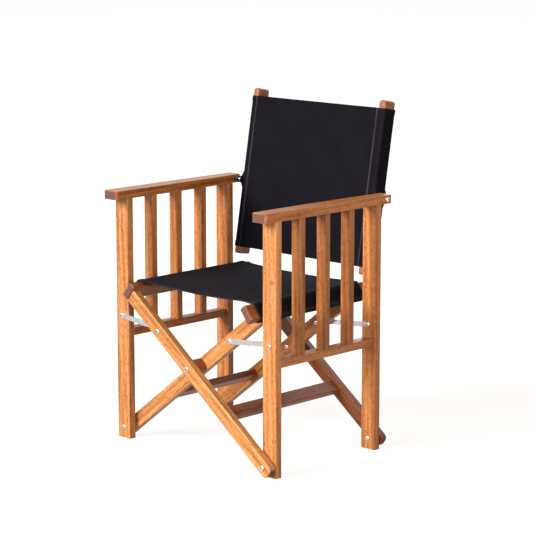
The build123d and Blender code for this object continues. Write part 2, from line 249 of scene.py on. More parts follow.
    gloss = addNode(
        tree, "ShaderNodeMath", {"operation": "MULTIPLY_ADD"},
        {0: streaks, 1: 0.16, 2: woodLook["roughness"] - 0.07},
    )
    gloss = addNode(tree, "ShaderNodeMath", {"operation": "MULTIPLY_ADD"}, {0: endMask, 1: 0.25, 2: gloss})
    height = addNode(
        tree, "ShaderNodeMath", {"operation": "MULTIPLY_ADD"}, {0: poreMask, 1: -0.8, 2: streaks}
    )
    finishMaterial(tree, {
        "Base Color": colour, "Roughness": gloss, "Specular IOR Level": woodLook["specular"],
        "Normal": addNode(
            tree, "ShaderNodeBump",
            inputs={"Height": height, "Strength": 0.5, "Distance": woodLook["bump"] * mm},
        ),
    })
    return material


def dress(node, material):  # the node's own finish in its material slots; its mesh stays as it is
    data = nodes[node].data
    if not data.materials:
        data.materials.append(material)
    for i in range(len(data.materials)):
        data.materials[i] = material


boardCount = 0
for node in sorted(nodes):
    for start, (grain, paintedLightTint) in boards.items():
        if node.startswith(start):
            dress(node, makeWood("oiled_" + node, grain, paintedLightTint, 101 + boardCount * 7, knots.get(node)))
            boardCount += 1
            break
print("wood:", boardCount, "boards")


# Polished stainless steel: bright and clean, with faint lines left by the polishing wheel, and painted shade
# darkening its hexagon sockets
steelLook = {
    "tones": [(0.3, "#DCDDDF"), (0.7, "#F0F0F1")],
    "roundScale": (1500, 1500, 1500),  # lines two thirds of a mm apart, wider than the real ones
    "flatScale": (300, 2400, 2400),
    "smudges": 90.0,                   # per metre
    "roughness": 0.14,
    "paintedSocketShade": "#1E1E20",
    "socketReach": 4,                  # mm
    "paintedSocketShadeStops": [(0.4, 0.9), (0.7, 0.0)],
    "bump": 0.02,                      # mm
}


def makeSteel(name, scale):
    material, tree = newMaterial(name)
    coords = addNode(tree, "ShaderNodeTexCoord").outputs["Object"]
    lines = addNode(tree, "ShaderNodeTexNoise", inputs={
        "Vector": addNode(tree, "ShaderNodeMapping", inputs={"Vector": coords, "Scale": scale}),
        "Scale": 1.0, "Detail": 2.0,
    })
    smudge = addNode(
        tree, "ShaderNodeTexNoise", inputs={"Vector": coords, "Scale": steelLook["smudges"], "Detail": 3.0}
    )
    both = addNode(tree, "ShaderNodeMath", {"operation": "ADD"}, {0: lines, 1: smudge})
    clean = addNode(tree, "ShaderNodeValToRGB", {"stops": steelLook["tones"]}, {"Fac": smudge})
    # painted shade: the hexagon sockets, and any other closed-in hollow, are darkened where ambient occlusion
    # finds them
    openness = addNode(
        tree, "ShaderNodeAmbientOcclusion", {"samples": 8, "only_local": True},
        {"Distance": steelLook["socketReach"] * mm},
    ).outputs["AO"]
    paintedSocketShade = addNode(tree, "ShaderNodeValToRGB", {"stops": steelLook["paintedSocketShadeStops"]}, {"Fac": openness})
    finishMaterial(tree, {
        "Metallic": 1.0,
        "Base Color": addNode(
            tree, "ShaderNodeMix", {"data_type": "RGBA"},
            {"Factor": paintedSocketShade, 6: clean, 7: hexColour(steelLook["paintedSocketShade"])},
        ),
        "Roughness": addNode(
            tree, "ShaderNodeMath", {"operation": "MULTIPLY"}, {0: both, 1: steelLook["roughness"]}
        ),
        "Normal": addNode(
            tree, "ShaderNodeBump",
            inputs={"Height": lines, "Strength": 0.25, "Distance": steelLook["bump"] * mm},
        ),
    })
    return material


# Moulded nylon: dark satin with the fine grit of a spark-eroded mould
nylonLook = {
    "tones": [(0.3, "#141416"), (0.7, "#1F1F22")],
    "grit": 0.55,   # mm
    "roughness": 0.4,
    "bump": 0.05,   # mm
}


def makeNylon(name):
    material, tree = newMaterial(name)
    coords = addNode(tree, "ShaderNodeTexCoord").outputs["Object"]
    grit = addNode(
        tree, "ShaderNodeTexNoise",
        inputs={"Vector": coords, "Scale": 1 / (nylonLook["grit"] * mm), "Detail": 2.0},
    )
    finishMaterial(tree, {
        "Base Color": addNode(tree, "ShaderNodeValToRGB", {"stops": nylonLook["tones"]}, {"Fac": grit}),
        "Roughness": addNode(
            tree, "ShaderNodeMath", {"operation": "MULTIPLY_ADD"},
            {0: grit, 1: 0.2, 2: nylonLook["roughness"]},
        ),
        "Normal": addNode(
            tree, "ShaderNodeBump",
            inputs={"Height": grit, "Strength": 0.4, "Distance": nylonLook["bump"] * mm},
        ),
    })
    return material


# Blackened steel of the tacks and the back brackets: an oxide film, dark and half dull, with a
# few rubbed specks
blackenedLook = {
    "tones": [(0.5, "#1C1B1E"), (0.75, "#3A383C")],
    "specks": 700.0,  # per metre
    "roughness": 0.6,
    "bump": 0.03,     # mm
}


def makeBlackened(name):
    material, tree = newMaterial(name)
    coords = addNode(tree, "ShaderNodeTexCoord").outputs["Object"]
    specks = addNode(
        tree, "ShaderNodeTexNoise",
        inputs={"Vector": coords, "Scale": blackenedLook["specks"], "Detail": 2.0},
    )
    finishMaterial(tree, {
        "Metallic": 1.0,
        "Base Color": addNode(
            tree, "ShaderNodeValToRGB", {"stops": blackenedLook["tones"]}, {"Fac": specks}
        ),
        "Roughness": addNode(
            tree, "ShaderNodeMath", {"operation": "MULTIPLY_ADD"},
            {0: specks, 1: -0.2, 2: blackenedLook["roughness"]},
        ),
        "Normal": addNode(
            tree, "ShaderNodeBump",
            inputs={"Height": specks, "Strength": 0.3, "Distance": blackenedLook["bump"] * mm},
        ),
    })
    return material


boltSteel = makeSteel("polishedSteelBolts", steelLook["roundScale"])
linkSteel = makeSteel("polishedSteelLinks", steelLook["flatScale"])
mouldedNylon = makeNylon("mouldedNylonBush")
blackenedSteel = makeBlackened("blackenedSteel")
finishes = {
    boltSteel: ("foot_bolts", "foot_washers", "link_bolts", "link_studs", "cross_pivot_bolts", "back_bolt"),
    blackenedSteel: ("back_bracket", "bracket_screws"),
    linkSteel: ("folding_links",),
    mouldedNylon: ("back_bush",),
}
for finish, starts in finishes.items():
    for node in nodes:
        if node.startswith(starts):
            dress(node, finish)
print("metal: bolts, links and bushes")


# Black cotton canvas, plain woven: dull and dusty, with slubs, greyer where it is creased, and a painted
# highlight in the same grey along the back panel's crest over each upright
canvasLook = {
    "thread": 2.0,       # mm, 2.5 times the real spacing so that it shows
    "slubs": ((60, 900, 1), (900, 60, 1)),  # per metre, one for each way of the weave
    "mottle": 14.0,      # per metre
    "tones": [(0.34, "#0E0D13"), (0.66, "#17151D")],
    "shade": "#A0A0A0",  # of the hollows between the threads
    "wornAndHighlight": "#4E4A56",
    "roughness": 0.86,
    "specular": 0.04,
    "sheen": 0.015,
    "sheenTint": "#B8B2C4",
    "bump": 0.25,        # mm
}


waveScale = 0.314  # of a Wave texture along X or Y whose bands are one unit apart


def makeCanvas(name):
    material, tree = newMaterial(name)
    uv = addNode(tree, "ShaderNodeUVMap", {"uv_map": "cloth"})  # in metres
    threads, slubs = [], []
    for way in ("X", "Y"):
        threads.append(addNode(
            tree, "ShaderNodeTexWave",
            {"wave_type": "BANDS", "bands_direction": way, "wave_profile": "SIN"},
            {"Vector": uv, "Scale": waveScale / (canvasLook["thread"] * mm), "Distortion": 0.6,
             "Detail": 1.0, "Detail Scale": 0.4},
        ))
    for scale in canvasLook["slubs"]:
        slubs.append(addNode(tree, "ShaderNodeTexNoise", inputs={
            "Vector": addNode(tree, "ShaderNodeMapping", inputs={"Vector": uv, "Scale": scale}),
            "Scale": 1.0, "Detail": 2.0,
        }))
    weave = addNode(tree, "ShaderNodeMath", {"operation": "MAXIMUM"}, {0: threads[0], 1: threads[1]})
    slub = addNode(tree, "ShaderNodeMath", {"operation": "ADD"}, {0: slubs[0], 1: slubs[1]})
    mottle = addNode(
        tree, "ShaderNodeTexNoise", inputs={"Vector": uv, "Scale": canvasLook["mottle"], "Detail": 4.0}
    )
    patches = addNode(tree, "ShaderNodeMath", {"operation": "MULTIPLY"}, {0: mottle, 1: 0.4})
    tone = addNode(tree, "ShaderNodeMath", {"operation": "MULTIPLY_ADD"}, {0: slub, 1: 0.3, 2: patches})
    colour = addNode(tree, "ShaderNodeValToRGB", {"stops": canvasLook["tones"]}, {"Fac": tone})
    hollow = addNode(tree, "ShaderNodeMath", {"operation": "SUBTRACT"}, {0: 1.0, 1: weave})
    colour = addNode(
        tree, "ShaderNodeMix", {"data_type": "RGBA", "blend_type": "MULTIPLY"},
        {"Factor": hollow, 6: colour, 7: hexColour(canvasLook["shade"])},
    )
    # the pale grey marks real wear at creases and hems, and a painted highlight along the back panel's crests
    wear = addNode(tree, "ShaderNodeAttribute", {"attribute_name": "wear"}).outputs["Fac"]
    slubPatchiness = addNode(tree, "ShaderNodeMath", {"operation": "MULTIPLY_ADD"}, {0: slub, 1: 0.5, 2: 0.25})
    wearAndHighlightShare = addNode(tree, "ShaderNodeMath", {"operation": "MULTIPLY", "use_clamp": True}, {0: wear, 1: slubPatchiness})
    colour = addNode(
        tree, "ShaderNodeMix", {"data_type": "RGBA"},
        {"Factor": wearAndHighlightShare, 6: colour, 7: hexColour(canvasLook["wornAndHighlight"])},
    )
    height = addNode(tree, "ShaderNodeMath", {"operation": "MULTIPLY_ADD"}, {0: slub, 1: 0.4, 2: weave})
    finishMaterial(tree, {
        "Base Color": colour,
        "Roughness": addNode(
            tree, "ShaderNodeMath", {"operation": "MULTIPLY_ADD"},
            {0: slub, 1: 0.07, 2: canvasLook["roughness"] - 0.07},
        ),
        "Specular IOR Level": canvasLook["specular"],
        "Sheen Weight": canvasLook["sheen"], "Sheen Roughness": 0.45,
        "Sheen Tint": hexColour(canvasLook["sheenTint"]),
        "Normal": addNode(
            tree, "ShaderNodeBump",
            inputs={"Height": height, "Strength": 0.7, "Distance": canvasLook["bump"] * mm},
        ),
    })
    return material


# Bonded polyester thread: black, a little shinier than the cloth, twisted
threadLook = {
    "tones": [(0.2, "#0C0B0F"), (0.8, "#17151A")],
    "twist": 498.4,  # per metre, which puts the strands 0.73 mm apart
    "roughness": 0.55,
    "specular": 0.15,
    "bump": 0.1,     # mm
}


def makeThread(name):
    material, tree = newMaterial(name)
    coords = addNode(tree, "ShaderNodeTexCoord").outputs["Object"]
    twist = addNode(
        tree, "ShaderNodeTexWave", {"bands_direction": "DIAGONAL"},
        {"Vector": coords, "Scale": threadLook["twist"]},
    )
    finishMaterial(tree, {
        "Base Color": addNode(tree, "ShaderNodeValToRGB", {"stops": threadLook["tones"]}, {"Fac": twist}),
        "Roughness": addNode(
            tree, "ShaderNodeMath", {"operation": "MULTIPLY_ADD"},
            {0: twist, 1: 0.15, 2: threadLook["roughness"]},
        ),
        "Specular IOR Level": threadLook["specular"],
        "Normal": addNode(
            tree, "ShaderNodeBump",
            inputs={"Height": twist, "Strength": 0.5, "Distance": threadLook["bump"] * mm},
        ),
    })
    return material


wovenSeat, wovenBack = makeCanvas("wovenCanvasSeat"), makeCanvas("wovenCanvasBack")
blackThread = makeThread("bondedThread")


# A line through points, its corners turned on arcs, with a point about every step
def roundedLine(points, radii, step, turns=7):
    points = [np.array(p, float) for p in points]
    out = [points[0]]
    for i in range(1, len(points) - 1):
        before, corner, after = points[i - 1], points[i], points[i + 1]
        a, b = before - corner, after - corner
        a, b = a / np.linalg.norm(a), b / np.linalg.norm(b)
        half = math.acos(max(-1, min(1, float(a @ b)))) / 2
        cut = radii[i - 1] / math.tan(half)
        start, end = corner + a * cut, corner + b * cut
        centre = corner + (a + b) / np.linalg.norm(a + b) * radii[i - 1] / math.sin(half)
        first, last = start - centre, end - centre
        sweep = math.atan2(first[0] * last[1] - first[1] * last[0], float(first @ last))
        for k in range(turns + 1):
            t = sweep * k / turns
            c, s = math.cos(t), math.sin(t)
            out.append(centre + np.array([first[0] * c - first[1] * s, first[0] * s + first[1] * c]))
    out.append(points[-1])
    dense = [out[0]]
    for p, q in zip(out, out[1:]):
        gap = np.linalg.norm(q - p)
        parts = max(1, round(gap / step))
        dense += [p + (q - p) * k / parts for k in range(1, parts + 1)]
    return np.array(dense)


def lengths(line):
    return np.concatenate([[0], np.cumsum(np.linalg.norm(np.diff(line, axis=0), axis=1))])


def gridNormals(mid):
    n = np.cross(np.gradient(mid, axis=0), np.gradient(mid, axis=1))
    return n / np.linalg.norm(n, axis=2)[..., None]


# A closed sheet of cloth round a grid of middle points, with a rounded rim
def clothShell(name, mid, thick, uv, wear, material):
    nu, nv = mid.shape[:2]
    normal = gridNormals(mid)
    top = mid + normal * thick[..., None] / 2
    bottom = mid - normal * thick[..., None] / 2
    ring = [(i, 0) for i in range(nu)] + [(nu - 1, j) for j in range(1, nv)]
    ring += [(i, nv - 1) for i in range(nu - 2, -1, -1)] + [(0, j) for j in range(nv - 2, 0, -1)]
    rim = []
    for i, j in ring:
        inner = mid[min(max(i, 1), nu - 2), min(max(j, 1), nv - 2)]
        away = mid[i, j] - inner
        rim.append(mid[i, j] + away / max(np.linalg.norm(away), 1e-9) * thick[i, j] * 0.4)
    count = nu * nv
    corners = np.concatenate([top.reshape(-1, 3), bottom.reshape(-1, 3), np.array(rim)])
    index = np.arange(count).reshape(nu, nv)
    faces = []
    for i in range(nu - 1):
        for j in range(nv - 1):
            a, b, c, d = index[i, j], index[i + 1, j], index[i + 1, j + 1], index[i, j + 1]
            faces.append((a, b, c, d))
            faces.append((d + count, c + count, b + count, a + count))
    for k, (here, there) in enumerate(zip(ring, ring[1:] + ring[:1])):
        a, b = index[here], index[there]
        ra, rb = 2 * count + k, 2 * count + (k + 1) % len(ring)
        faces.append((a, ra, rb, b))
        faces.append((a + count, b + count, rb, ra))
    data = bpy.data.meshes.new(name)
    data.from_pydata(corners.tolist(), [], [[int(v) for v in f] for f in faces])
    shell = bmesh.new()
    shell.from_mesh(data)
    bmesh.ops.recalc_face_normals(shell, faces=shell.faces)
    shell.to_mesh(data)
    shell.free()
    flatUv = uv.reshape(-1, 2)
    ringUv = np.array([uv[p] for p in ring])
    allUv = np.concatenate([flatUv, flatUv, ringUv])
    layer = data.uv_layers.new(name="cloth")
    which = np.zeros(len(data.loops), int)
    data.loops.foreach_get("vertex_index", which)
    layer.data.foreach_set("uv", allUv[which].astype(np.float32).ravel())
    allWear = np.concatenate([wear.ravel(), wear.ravel(), [wear[p] for p in ring]])
    data.attributes.new("wear", "FLOAT", "POINT").data.foreach_set("value", allWear.astype(np.float32))
    data.materials.append(material)
    data.shade_smooth()
    piece = bpy.data.objects.new(name, data)
    bpy.context.scene.collection.objects.link(piece)
    return piece


# Places across a cloth, closer together over the hems at both ends
def hemSpots(low, high, hem, step):
    close = [0, 0.5, 1.2, 2.5, 5, hem * 0.6, hem - 1.6, hem - 0.8, hem, hem + 0.8, hem + 2.2, hem + 5]
    inner = np.linspace(low + (hem + 9) * mm, high - (hem + 9) * mm, max(2, round((high - low) / step)))
    return np.array([low + c * mm for c in close] + list(inner) + [high - c * mm for c in reversed(close)])


def hemShare(places, low, high, hem):
    edge = np.minimum(places - low, high - places) / mm
    return 1 - smoothStep(hem - 0.6, hem + 0.8, edge)


# Stitches and tacks repeat along lines laid on the cloth
def repeatTree(shape):
    tree = bpy.data.node_groups.new(shape + "AlongLine", "GeometryNodeTree")
    face = tree.interface
    face.new_socket("Geometry", in_out="INPUT", socket_type="NodeSocketGeometry")
    for label, value in (("Pitch", 0.004), ("Radius", 0.0004), ("Length", 0.0028)):
        face.new_socket(label, in_out="INPUT", socket_type="NodeSocketFloat").default_value = value
    face.new_socket("Facing", in_out="INPUT", socket_type="NodeSocketVector")
    face.new_socket("Finish", in_out="INPUT", socket_type="NodeSocketMaterial")
    face.new_socket("Geometry", in_out="OUTPUT", socket_type="NodeSocketGeometry")
    given = addNode(tree, "NodeGroupInput")
    line = addNode(tree, "GeometryNodeMeshToCurve", inputs={"Mesh": given.outputs["Geometry"]})
    spaced = addNode(
        tree, "GeometryNodeResampleCurve", {"mode": "LENGTH"},
        {"Curve": line, "Length": given.outputs["Pitch"]},
    )
    if shape == "stitch":
        unit = addNode(
            tree, "GeometryNodeMeshCylinder", {"fill_type": "TRIANGLE_FAN"},
            {"Vertices": 6, "Radius": given.outputs["Radius"], "Depth": given.outputs["Length"]},
        )
        direction = addNode(tree, "GeometryNodeInputTangent")
    else:
        ball = addNode(
            tree, "GeometryNodeMeshUVSphere",
            inputs={"Segments": 12, "Rings": 8, "Radius": given.outputs["Radius"]},
        )
        unit = addNode(
            tree, "GeometryNodeTransform", inputs={"Geometry": ball, "Scale": (1, 1, 0.42)}
        )
        direction = given.outputs["Facing"]
    turned = addNode(tree, "FunctionNodeAlignRotationToVector", {"axis": "Z"}, {"Vector": direction})
    copies = addNode(
        tree, "GeometryNodeInstanceOnPoints",
        inputs={"Points": spaced, "Instance": unit, "Rotation": turned},
    )
    real = addNode(tree, "GeometryNodeRealizeInstances", inputs={"Geometry": copies})
    smooth = addNode(tree, "GeometryNodeSetShadeSmooth", inputs={"Geometry": real})
    finished = addNode(
        tree, "GeometryNodeSetMaterial",
        inputs={"Geometry": smooth, "Material": given.outputs["Finish"]},
    )
    addNode(tree, "NodeGroupOutput", inputs={"Geometry": finished})
    return tree


repeatTrees = {shape: repeatTree(shape) for shape in ("stitch", "tack")}


# Copies of a stitch or tack along each line, as one plain mesh; sizes are in mm
def repeatAlong(name, lines, shape, material, sizes, facing=(0, 0, 1)):
    corners, edges = [], []
    for line in lines:
        first = len(corners)
        corners += [tuple(p) for p in line]
        edges += [(first + k, first + k + 1) for k in range(len(line) - 1)]
    data = bpy.data.meshes.new(name + "Lines")
    data.from_pydata(corners, edges, [])
    carrier = bpy.data.objects.new(name + "Lines", data)
    bpy.context.scene.collection.objects.link(carrier)
    modifier = carrier.modifiers.new("repeat", "NODES")
    modifier.node_group = repeatTrees[shape]
    ids = {s.name: s.identifier for s in modifier.node_group.interface.items_tree
           if s.item_type == "SOCKET" and s.in_out == "INPUT"}
    for label, value in sizes.items():
        modifier[ids[label.capitalize()]] = value * mm
    modifier[ids["Facing"]] = facing
    modifier[ids["Finish"]] = material
    evaluated = carrier.evaluated_get(bpy.context.evaluated_depsgraph_get())
    made = bpy.data.meshes.new_from_object(evaluated)
    made.name = name
    bpy.data.objects.remove(carrier)
    if not made.materials:
        made.materials.append(material)
    piece = bpy.data.objects.new(name, made)
    bpy.context.scene.collection.objects.link(piece)
    return piece


# Seat canvas: over each rail's top corner, down its outer face, hem under its lower edge
seat = {  # mm, degrees
    "along": 281.05, "hemAlong": 263.5,       # up the legs from the cross pivot
    "outerPerp": -17.05, "innerPerp": 30.05,  # across the legs
    "pivotHeight": 228.814, "legAngle": 37.4,
    "halfDepth": 188, "hem": 15, "endHem": 12, "thick": 1.4, "hemThick": 2.5,
    "sagMiddle": 8.5, "sagEdge": 6.5, "pullIn": 3.5,
    "unevenness": 1.6, "pucker": 0.9, "puckerReach": 50,
    "cornerRadius": 7, "creaseReach": 5, "rimWear": 1.5,
    "lineStep": 3.4, "step": 6,
    "seamInset": 1.6, "edgeSeam": 5,          # from the hem's fold, and from the cloth's edge
    "stitch": {"pitch": 3.8, "radius": 0.45, "length": 2.7},
    "tackPitch": 43, "tackRadius": 4, "tackInset": 7, "tackEnd": 12,
}


def legPoint(along, perp):
    angle = math.radians(seat["legAngle"])
    return (
        (-along * math.cos(angle) + perp * math.sin(angle)) * mm,
        (seat["pivotHeight"] + along * math.sin(angle) + perp * math.cos(angle)) * mm,
    )


def seatGrid():
    wrap = [
        legPoint(seat["hemAlong"], seat["outerPerp"]),
        legPoint(seat["along"], seat["outerPerp"]),
        legPoint(seat["along"], seat["innerPerp"]),
    ]
    route = wrap + [(-x, z) for x, z in reversed(wrap)]
    radius = seat["cornerRadius"] * mm
    line = roundedLine(route, [radius] * 4, seat["lineStep"] * mm)
    half = seat["halfDepth"] * mm
    places = hemSpots(-half, half, seat["hem"], seat["step"] * mm)
    run = lengths(line)
    edgeX = abs(wrap[2][0])
    nu, nv = len(line), len(places)
    mid = np.zeros((nu, nv, 3))
    for i, (x, z) in enumerate(line):
        inSpan = max(0.0, 1 - (x / edgeX) ** 2) if z > wrap[2][1] - 6 * mm else 0.0
        nearRail = math.exp(-max(0.0, edgeX - abs(x)) / (seat["puckerReach"] * mm))
        for j, y in enumerate(places):
            across = y / half
            sag = (seat["sagMiddle"] + (seat["sagEdge"] - seat["sagMiddle"]) * across ** 4) * mm
            soft = noise.noise(Vector((x * 7, y * 9, 0.3))) * seat["unevenness"] * mm * inSpan ** 0.5
            pucker = noise.noise(Vector((x * 3 + 4, y * 34, 2.1))) * seat["pucker"] * mm
            pucker *= nearRail * (inSpan > 0)
            inward = y * inSpan * seat["pullIn"] * mm / half
            mid[i, j] = (x, y - inward, z - sag * inSpan + soft + pucker)
    hem = hemShare(places, -half, half, seat["hem"])
    fold = seat["endHem"]
    endHem = 1 - smoothStep((fold - 1) * mm, (fold + 1) * mm, np.minimum(run, run[-1] - run))
    doubled = np.maximum(np.broadcast_to(hem, (nu, nv)), endHem[:, None])
    thick = (seat["thick"] + (seat["hemThick"] - seat["thick"]) * doubled) * mm
    uv = np.stack(np.meshgrid(run, places, indexing="ij"), axis=2)
    crease = np.zeros((nu, nv))
    for cornerPoint in (wrap[1], wrap[2]):
        for sign in (-1, 1):
            gap = np.hypot(line[:, 0] - sign * cornerPoint[0], line[:, 1] - cornerPoint[1])
            bend = np.exp(-(gap / (seat["creaseReach"] * mm)) ** 2) * 0.45
            crease = np.maximum(crease, bend[:, None])
    rim = np.exp(-(np.minimum(places + half, half - places) / (seat["rimWear"] * mm)) ** 2) * 0.3
    return mid, thick, uv, np.maximum(crease, rim[None, :]), line, places


mid, thick, uv, wear, seatLine, seatPlaces = seatGrid()
seatUp = gridNormals(mid)
if seatUp[len(seatLine) // 2, 0, 2] < 0:  # the grid's normal should be the outer side
    seatUp = -seatUp
seatCanvas = clothShell("seatCanvas", mid, thick, uv, wear, wovenSeat)


# Points of a seam lying on the outer side of a cloth
def gridRow(mid, normal, thick, rows, columns, lift=0.15):
    return [mid[i, j] + normal[i, j] * (thick[i, j] / 2 + lift * mm) for i, j in zip(rows, columns)]


def nearest(places, target):
    return int(np.argmin(np.abs(places - target)))


seatSeams = []
for side in (-1, 1):
    for inset in (seat["hem"] - seat["seamInset"], seat["edgeSeam"]):
        j = nearest(seatPlaces, side * (seat["halfDepth"] - inset) * mm)
        rows = range(1, len(seatLine) - 1)
        seatSeams.append(gridRow(mid, seatUp, thick, rows, [j] * len(rows)))
seatStitches = repeatAlong("seatStitches", seatSeams, "stitch", blackThread, seat["stitch"])
for piece in (seatCanvas, seatStitches):
    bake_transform(piece)
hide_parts("seat_canvas")

angle = math.radians(seat["legAngle"])
for body, side in (("cross_a", 1), ("cross_b", -1)):
    x, z = legPoint(seat["hemAlong"] + seat["tackInset"], seat["outerPerp"] - seat["hemThick"] / 2)
    reach = (seat["halfDepth"] - seat["tackEnd"]) * mm
    tacks = repeatAlong(
        "seatTacks" + body[-1].upper(), [[(side * x, -reach, z), (side * x, reach, z)]],
        "tack", blackenedSteel, {"pitch": seat["tackPitch"], "radius": seat["tackRadius"]},
        facing=(-side * math.sin(angle), 0, -math.cos(angle)),
    )
    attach(tacks, body)
print("seat: canvas,", len(seatSeams), "seams, tacks")

# Back canvas: a panel across the front of the uprights and a sleeve round each
back = {  # mm
    "boltY": 207, "boltZ": 639,
    "bottom": -177, "top": 224, "hem": 13, "step": 5,
    "outerX": 232, "innerX": 210, "frontY": 10, "rearY": 52, "corner": 7.5,
    "thick": 1.1, "hemThick": 2.1, "gap": 0.3,
    "lap": 6,                        # of the panel over each upright's front
    "flap": 4,                       # of the sleeve behind the panel's edge
    "panelSag": 5.5, "crest": 1.5, "crestWidth": 2.6,
    "unevenness": 2.2, "wave": 1.5, "pull": 0.8,
    "bulge": 5.0,                    # over the bracket and its screws
    "seamX": 208.2, "seamInset": 1.6,
    "stitch": {"pitch": 3.8, "radius": 0.42, "length": 2.7},
}
backUp = np.array([0, math.sin(lean), math.cos(lean)])
backRear = np.array([0, math.cos(lean), -math.sin(lean)])
backOrigin = np.array([0, back["boltY"], back["boltZ"]]) * mm


# From millimetres in the back's own frame, whose origin is between its bolts
def backPlace(x, y, z):
    return backOrigin + np.array([x, 0, 0]) * mm + backRear * y * mm + backUp * z * mm


def panelGrid():
    low, high = back["bottom"], back["top"]
    edge = back["innerX"]
    reach = edge + back["lap"]
    close = [0, 0.8, 1.6, 2.4, 3.2, 4, 4.8, 5.6, 6.4, 7.4, 8.6, 10, 12, 15, 19]
    inner = np.linspace(-reach + 24, reach - 24, 84)
    xs = np.array([-reach + c for c in close] + list(inner) + [reach - c for c in reversed(close)])
    zs = hemSpots(low * mm, high * mm, back["hem"], back["step"] * mm) / mm
    base = back["frontY"] - back["gap"] - back["thick"] * 1.5 - 0.1
    mid = np.zeros((len(xs), len(zs), 3))
    for i, x in enumerate(xs):
        flat = max(0.0, 1 - (x / edge) ** 2)
        crest = back["crest"] * math.exp(-((abs(x) - edge - 1.5) / back["crestWidth"]) ** 2)
        tuck = max(0.0, abs(x) - edge - 3.2) * 0.9
        for j, z in enumerate(zs):
            soft = noise.noise(Vector((x * 0.008, z * 0.006, 7.7))) * back["unevenness"] * flat ** 0.5
            # slack at the two free edges makes a slow wave
            loose = math.exp(-(z - low) / 60) + 0.6 * math.exp(-(high - z) / 50)
            wave = loose * math.sin(x / 68 + 0.8) * back["wave"] * flat ** 0.5
            # and the seams pull short puckers into the cloth beside them
            pull = noise.noise(Vector((x * 0.004 + 9, z * 0.045, 1.4))) * back["pull"]
            pull *= math.exp(-(edge - abs(x)) / 40) if flat > 0 else 0
            y = base + back["panelSag"] * flat - crest + tuck + soft + wave + pull
            mid[i, j] = backPlace(x, y, z)
    hem = hemShare(zs * mm, low * mm, high * mm, back["hem"])
    depth = (back["thick"] + (back["hemThick"] - back["thick"]) * hem) * mm
    thick = np.broadcast_to(depth, mid.shape[:2]).copy()
    thin = smoothStep(edge + 2, edge + back["lap"], np.abs(xs))
    thick *= (1 - 0.35 * thin)[:, None]
    uv = np.stack(np.meshgrid(xs * mm, zs * mm, indexing="ij"), axis=2)
    # painted highlight: a thin pale stripe along the crest over each upright's inner front corner
    crestHighlight = np.exp(-((np.abs(xs) - edge - 1.5) / 2.2) ** 2)
    fade = np.array([0.55 + 0.35 * noise.noise(Vector((0.4, z * 0.02, 3.3))) for z in zs])
    wear = crestHighlight[:, None] * fade[None, :]
    return mid, thick, uv, wear, xs, zs


def sleeveGrid(side):
    low, high = back["bottom"], back["top"]
    t = back["thick"]
    out = back["gap"] + t / 2
    inner, outer = back["innerX"] - out, back["outerX"] + out
    front, rear = back["frontY"] - out, back["rearY"] + out
    route = [
        (inner - back["flap"], front + 1.3), (inner - 0.4, front + 1.7), (inner - 0.4, rear + 0.5),
        (outer, rear + 0.5), (outer, front), (inner + 1, front),
    ]
    line = roundedLine(route, [1.2] + [back["corner"]] * 3, 2.2)
    run = lengths(line)
    zs = hemSpots(low * mm, high * mm, back["hem"], back["step"] * mm) / mm
    along = np.gradient(line, axis=0)
    outward = np.stack([along[:, 1], -along[:, 0]], axis=1)
    outward /= np.linalg.norm(outward, axis=1)[:, None]
    middle = np.array([(inner + outer) / 2, (front + rear) / 2])
    far = int(np.argmax(line[:, 0]))
    if (line[far] - middle) @ outward[far] < 0:
        outward = -outward
    hem = hemShare(zs * mm, low * mm, high * mm, back["hem"])
    mid = np.zeros((len(line), len(zs), 3))
    for i, (x, y) in enumerate(line):
        onOuter = float(smoothStep(outer - 4, outer - 0.5, x))
        free = float(smoothStep(front + 2, front + 9, y))  # slack away from the tight front
        for j, z in enumerate(zs):
            over = back["bulge"] * onOuter * float(1 - smoothStep(10, 24, abs(z)))
            slack = (0.5 + 0.7 * noise.noise(Vector((run[i] * 0.03, z * 0.018, 5.0 + side)))) * free
            push = over + slack + hem[j] * (back["hemThick"] - t) / 2
            mid[i, j] = backPlace(side * (x + outward[i, 0] * push), y + outward[i, 1] * push, z)
    thick = np.broadcast_to((t + (back["hemThick"] - t) * hem) * mm, mid.shape[:2]).copy()
    uv = np.stack(np.meshgrid(run * mm, zs * mm, indexing="ij"), axis=2)
    corner = np.zeros(len(line))
    for cx, cy in ((outer, front), (outer, rear)):
        corner = np.maximum(corner, np.exp(-((line[:, 0] - cx) ** 2 + (line[:, 1] - cy) ** 2) / 30))
    rim = np.exp(-(np.minimum(zs - low, high - zs) / 1.5) ** 2) * 0.3
    wear = np.maximum(corner[:, None] * 0.12, rim[None, :])
    return mid, thick, uv, wear, line, zs


mid, thick, uv, wear, xs, zs = panelGrid()
front = gridNormals(mid)
if front[len(xs) // 2, len(zs) // 2, 1] > 0:
    front = -front
backPanel = clothShell("backPanel", mid, thick, uv, wear, wovenBack)
hemSeam = back["hem"] - back["seamInset"]
hemSeams = (back["top"] - hemSeam, back["bottom"] + hemSeam)
panelSeams = []
inside = [i for i, x in enumerate(xs) if abs(x) < back["innerX"] + 2]
for z in hemSeams:
    panelSeams.append(gridRow(mid, front, thick, inside, [nearest(zs, z)] * len(inside)))
for x in (-back["seamX"], back["seamX"]):
    rows = range(1, len(zs) - 1)
    panelSeams.append(gridRow(mid, front, thick, [nearest(xs, x)] * len(rows), rows))
panelStitches = repeatAlong("backPanelStitches", panelSeams, "stitch", blackThread, back["stitch"])
# The panel rides on the left upright, on a mesh of its own
for piece in (backPanel, panelStitches):
    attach(piece, "back_left")
    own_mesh(piece)
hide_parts("back_canvas")

